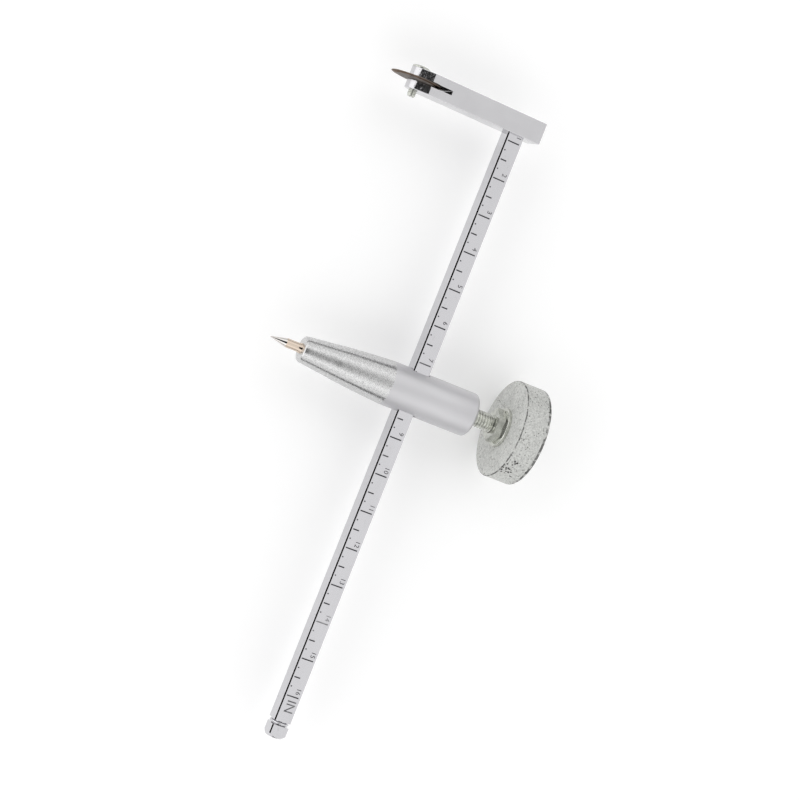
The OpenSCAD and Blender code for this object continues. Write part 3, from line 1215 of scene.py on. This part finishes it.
class GAUGE_OT_clamp_screw(bpy.types.Operator):
    """Cut the clamp screw: chamfered tip, plain core and a wound thread"""

    bl_idname = "gauge.clamp_screw"
    bl_label = "Clamp screw"

    def execute(self, context):
        s = context.scene.gauge_clamp
        low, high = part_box("clamp_stud")
        crest = (high.z - low.z) / 2
        root = crest - s.thread_depth
        rear = node_high("handle_body", "X")
        core = turned_piece(
            "clamp_screw_piece",
            "X",
            (0, 0, 0),
            [
                (low.x, crest - 0.6 * MM),
                (low.x + 0.6 * MM, crest),
                (rear - 12 * MM, crest),
                (rear - 11.4 * MM, root + HAIR),
                (high.x - 0.1 * MM, root + HAIR),
            ],
            72,
        )
        thread = threaded_piece(
            "clamp_thread",
            "X",
            Vector((0, 0, 0)),
            rear - 11.8 * MM,
            node_middle("lock_nut", "X") + s.pitch,
            s.pitch,
            root,
            crest,
            64,
        )
        for piece in (core, thread):
            smooth(piece, 35)
        join(core, thread)
        dress(core, zinc_plate)
        place_in_frame(core, "screw", "clamp_stud")
        return {"FINISHED"}


class GAUGE_OT_lock_nut(bpy.types.Operator):
    """Shape the lock nut: hexagon, both faces turned to a cone, countersunk thread"""

    bl_idname = "gauge.lock_nut"
    bl_label = "Lock nut"

    def execute(self, context):
        low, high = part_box("lock_nut")
        corner = (high.z - low.z) / 2
        flats = (high.y - low.y) / 2
        if flats > corner:
            corner, flats = flats, corner
        thick = high.x - low.x
        middle = ((low.x + high.x) / 2, 0, 0)
        nut = prism("lock_nut_piece", "X", middle, corner, thick, 6)
        face = flats - 0.1 * MM
        rise = 0.4 * MM
        cone = turned_piece(
            "cone_keeper",
            "X",
            (low.x, 0, 0),
            [
                (0, face),
                (rise, corner + 0.05 * MM),
                (thick - rise, corner + 0.05 * MM),
                (thick, face),
            ],
            128,
        )
        cut(nut, cone, "INTERSECT")
        bore_radius = node_span("clamp_stud", "Z") / 2
        bore = turned_piece(
            "nut_bore",
            "X",
            (low.x, 0, 0),
            [
                (-0.1 * MM, bore_radius + 0.5 * MM),
                (0.4 * MM, bore_radius - HAIR),
                (thick + MM, bore_radius - HAIR),
            ],
            64,
        )
        cut(nut, bore)
        smooth(nut, 25)
        dress(nut, zinc_plate)
        place_in_frame(nut, "knob", "lock_nut")
        return {"FINISHED"}


class GAUGE_OT_washer(bpy.types.Operator):
    """Turn the washer between the lock nut and the knob"""

    bl_idname = "gauge.washer"
    bl_label = "Washer"

    def execute(self, context):
        s = context.scene.gauge_clamp
        low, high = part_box("knob_washer")
        outer = (high.z - low.z) / 2
        thick = high.x - low.x
        inner = node_span("clamp_stud", "Z") / 2
        rounded = s.washer_round
        outline = [(0, inner + 0.01 * MM)]
        outline += arc((rounded, outer - rounded), rounded, 180, 90, 4)
        outline += arc((thick - 0.12 * MM, outer - 0.12 * MM), 0.12 * MM, 90, 0, 3)
        outline += [(thick, inner + 0.01 * MM)]
        washer = turned_ring("washer_piece", "X", (low.x, 0, 0), outline, 128)
        smooth(washer, 30)
        dress(washer, zinc_plate)
        place_in_frame(washer, "knob", "knob_washer")
        return {"FINISHED"}


class GAUGE_OT_knob(bpy.types.Operator):
    """Turn the cast knob and leave casting pits in its rim and edges"""

    bl_idname = "gauge.knob"
    bl_label = "Knob"

    # Smallest and largest radius of each kind of hollow, in millimetres.
    pit_sizes = (0.09, 0.2)
    cluster_sizes = (0.16, 0.42)
    nick_sizes = (0.2, 0.38)
    # Spread of the cluster in degrees, and how far nicks lie behind the front, in millimetres.
    cluster_spread = 7
    nick_depth = 0.12

    def outline(self, s, radius, thick):
        front, rear = s.knob_front_round, s.knob_rear_bevel
        points = [(0, 2 * MM), (0, radius * 0.6)]
        points += arc((front, radius - front), front, 180, 90, 5)
        points += [(thick - rear - s.knob_rear_stain, radius)]
        points += arc((thick - rear, radius - rear), rear, 90, 0, 6)
        points += [(thick, radius * 0.5), (thick, 2 * MM)]
        return points

    def pit(self, place, size):
        bpy.ops.mesh.primitive_ico_sphere_add(subdivisions=2, radius=size, location=place)
        return settle(bpy.context.object, "pit")

    def pits(self, s, low, radius, thick):
        """Small hollows all round the rim, with a cluster low on the pin's side."""
        dice = random.Random(s.seed)
        places = []
        for _ in range(s.pit_count):
            angle = dice.uniform(0, 2 * math.pi)
            along = dice.uniform(0.04, 0.97) * thick
            places.append((angle, along, dice.uniform(*self.pit_sizes) * MM))
        for _ in range(s.cluster_count):
            angle = math.radians(dice.gauss(s.cluster_angle, self.cluster_spread))
            along = min(0.95, max(0.03, dice.gauss(0.3, 0.2))) * thick
            places.append((angle, along, dice.uniform(*self.cluster_sizes) * MM))
        for _ in range(s.nick_count):
            angle = dice.uniform(0, 2 * math.pi)
            along = dice.uniform(0.0, self.nick_depth) * MM
            places.append((angle, along, dice.uniform(*self.nick_sizes) * MM))
        pieces = []
        clear_selection()
        for angle, along, size in places:
            out = radius + size * 0.15
            if along < 0.15 * MM:
                out = radius - 0.05 * MM
            place = (low + along, out * math.cos(angle), out * math.sin(angle))
            pieces.append(self.pit(place, size))
        return join(*pieces)

    def execute(self, context):
        s = context.scene.gauge_clamp
        low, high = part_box("knob")
        radius = (high.z - low.z) / 2
        thick = high.x - low.x
        knob = turned_piece("knob_piece", "X", (low.x, 0, 0), self.outline(s, radius, thick), 256)
        cut(knob, self.pits(s, low.x, radius, thick), crossing=True)
        smooth(knob, 30)
        dress(knob, cast_skin, pit_metal, edge_shade_metal)

        def in_pit(centre, normal):
            out = math.hypot(centre.y, centre.z)
            on_axis = abs(normal.x)
            inside = radius - HAIR - out
            on_rim = low.x + s.knob_front_round < centre.x < high.x - s.knob_rear_bevel
            outwards = normal.y * centre.y + normal.z * centre.z
            return (on_rim and inside > 0 and outwards < 0.985 * out) and on_axis < 0.999

        finish_faces(knob, 1, in_pit)

        # Painted shade: the front rounding and the rear strip and bevel get the dark edge finish.
        def on_edge(centre, normal):
            out = math.hypot(centre.y, centre.z)
            at_front = centre.x < low.x + s.knob_front_round
            at_rear = centre.x > high.x - s.knob_rear_bevel - s.knob_rear_stain
            slanted = 0.02 < abs(normal.x) < 0.98
            if out < radius - s.knob_rear_bevel:
                return False
            return (at_front and slanted) or (at_rear and abs(normal.x) < 0.98)

        finish_faces(knob, 2, on_edge)
        place_in_frame(knob, "knob", "knob")
        return {"FINISHED"}


# Brightness of the black patch and of the low dark band.
PATCH_LEVEL = 0.01
BAND_LEVEL = 0.05
# Each zone of the surround fades between two values of a direction's component.
PANEL_FADE = 0.08
PIN_SIDE_FADE = (0.5, 0.6)
BAND_FADE = (0.06, -0.04)
BAND_SIDE_FADE = (0.45, 0.75)
HEAD_SIDE_FADE = (-0.08, 0.14)


class Surround(NodeTree):
    """Builds the world's brightness by direction."""

    def dot(self, direction):
        """How far the direction agrees with a given one."""
        sockets = {0: self.coords, 1: direction}
        return self.node("VectorMath", sockets, "Value", operation="DOT_PRODUCT")

    def step(self, value, start, end):
        """A soft step from 0 at start to 1 at end."""
        low, high = min(start, end), max(start, end)
        rising = start < end
        return self.spread(value, low, high, float(not rising), float(rising), "SMOOTHSTEP")

    def mix(self, factor, first, second):
        """Blend from the first level to the second."""
        return self.node("Mix", {0: factor, 2: first, 3: second})

    def finish(self, level):
        """Light the world with the level."""
        background = self.nodes["Background"]
        self.feed(background.inputs["Color"], (1, 1, 1, 1))
        self.feed(background.inputs["Strength"], level)


class GAUGE_OT_stage(bpy.types.Operator):
    """Lay the floor, set the soft light and the camera"""

    bl_idname = "gauge.stage"
    bl_label = "Stage"

    def floor(self, s):
        clear_selection()
        lowest = CAD_BOX[0][2]
        middle = (Vector(CAD_BOX[0]) + Vector(CAD_BOX[1])) / 2
        place = (middle.x, middle.y, lowest - 0.2 * MM)
        bpy.ops.mesh.primitive_plane_add(size=s.floor_size, location=place)
        floor = bpy.context.object
        floor.name = "floor"
        finish = Finish("floor_paint", s.floor_colour, 0.9, 0.0)
        finish.set("Emission Color", (1, 1, 1, 1))
        finish.set("Emission Strength", s.floor_glow)
        floor.data.materials.append(finish.done())

    def surround(self, s, camera_direction):
        """White all round, dark behind the camera, bright panels at the sides and the pin's end."""
        world = bpy.data.worlds.new("surround")
        bpy.context.scene.world = world
        light = Surround(world, "Generated")
        across = light.math("ABSOLUTE", light.part("Y"))
        height = light.part("Z")
        pin_side = light.math("MULTIPLY", light.part("X"), -1.0)
        panel_starts, panel_ends = [
            light.step(across, edge - PANEL_FADE, edge + PANEL_FADE)
            for edge in (s.panel_low, s.panel_high)
        ]
        side_panel = light.math("SUBTRACT", panel_starts, panel_ends)
        level = light.mix(side_panel, 1.0, s.panel_level)
        level = light.mix(light.step(pin_side, *PIN_SIDE_FADE), level, s.pin_side_level)
        patch_fade = [math.cos(math.radians(angle)) for angle in (s.dark_outer, s.dark_inner)]
        patch = light.step(light.dot(camera_direction), *patch_fade)
        level = light.mix(patch, level, PATCH_LEVEL)
        low_down = light.step(height, *[s.dark_height + fade for fade in BAND_FADE])
        sideways = light.step(across, *BAND_SIDE_FADE)
        level = light.mix(light.math("MULTIPLY", low_down, sideways), level, BAND_LEVEL)
        head_side = light.step(light.part("Y"), *HEAD_SIDE_FADE)
        level = light.math("MULTIPLY", level, light.mix(head_side, 1.0, s.head_side_level))
        seen = light.node("LightPath", {}, "Is Camera Ray")
        level = light.mix(seen, level, 1.0)
        light.finish(light.math("MULTIPLY", level, s.sky))

    def camera(self, s):
        data = bpy.data.cameras.new("camera")
        camera = bpy.data.objects.new("camera", data)
        bpy.context.collection.objects.link(camera)
        data.sensor_width = 36
        data.lens = s.lens
        camera.location = s.camera_place
        camera.rotation_euler = s.camera_turn
        bpy.context.scene.camera = camera
        return camera

    def execute(self, context):
        s = context.scene.gauge_stage
        self.floor(s)
        camera = self.camera(s)
        self.surround(s, camera.location.normalized())
        context.scene.view_settings.view_transform = "Standard"
        return {"FINISHED"}


class GAUGE_PT_panel(bpy.types.Panel):
    """Lists the gauge's pieces and settings"""

    bl_idname = "GAUGE_PT_panel"
    bl_label = "Circle Marking Gauge"
    bl_space_type = "VIEW_3D"
    bl_region_type = "UI"
    bl_category = "Gauge"

    def draw(self, context):
        for operator in OPERATORS:
            self.layout.operator(operator.bl_idname)
        for name, group in SETTINGS.items():
            box = self.layout.box()
            box.label(text=group.bl_rna.name)
            settings = getattr(context.scene, name)
            for key in group.__annotations__:
                box.prop(settings, key)


OPERATORS = (
    GAUGE_OT_handle,
    GAUGE_OT_centre_pin,
    GAUGE_OT_beam,
    GAUGE_OT_stop_ring,
    GAUGE_OT_head,
    GAUGE_OT_wheel,
    GAUGE_OT_axle_screw,
    GAUGE_OT_clamp_screw,
    GAUGE_OT_lock_nut,
    GAUGE_OT_washer,
    GAUGE_OT_knob,
    GAUGE_OT_stage,
)
SETTINGS = {
    "gauge_handle": GaugeHandleSettings,
    "gauge_beam": GaugeBeamSettings,
    "gauge_head": GaugeHeadSettings,
    "gauge_clamp": GaugeClampSettings,
    "gauge_finish": GaugeFinishSettings,
    "gauge_stage": GaugeStageSettings,
}


def register():
    for group in SETTINGS.values():
        bpy.utils.register_class(group)
    for operator in OPERATORS:
        bpy.utils.register_class(operator)
    bpy.utils.register_class(GAUGE_PT_panel)
    for name, group in SETTINGS.items():
        setattr(bpy.types.Scene, name, PointerProperty(type=group))


def unregister():
    for name in SETTINGS:
        delattr(bpy.types.Scene, name)
    bpy.utils.unregister_class(GAUGE_PT_panel)
    for operator in reversed(OPERATORS):
        bpy.utils.unregister_class(operator)
    for group in reversed(list(SETTINGS.values())):
        bpy.utils.unregister_class(group)


def main():
    register()
    for operator in OPERATORS:
        group, call = operator.bl_idname.split(".")
        getattr(getattr(bpy.ops, group), call)()
    clear_selection()


if __name__ == "__main__":
    main()
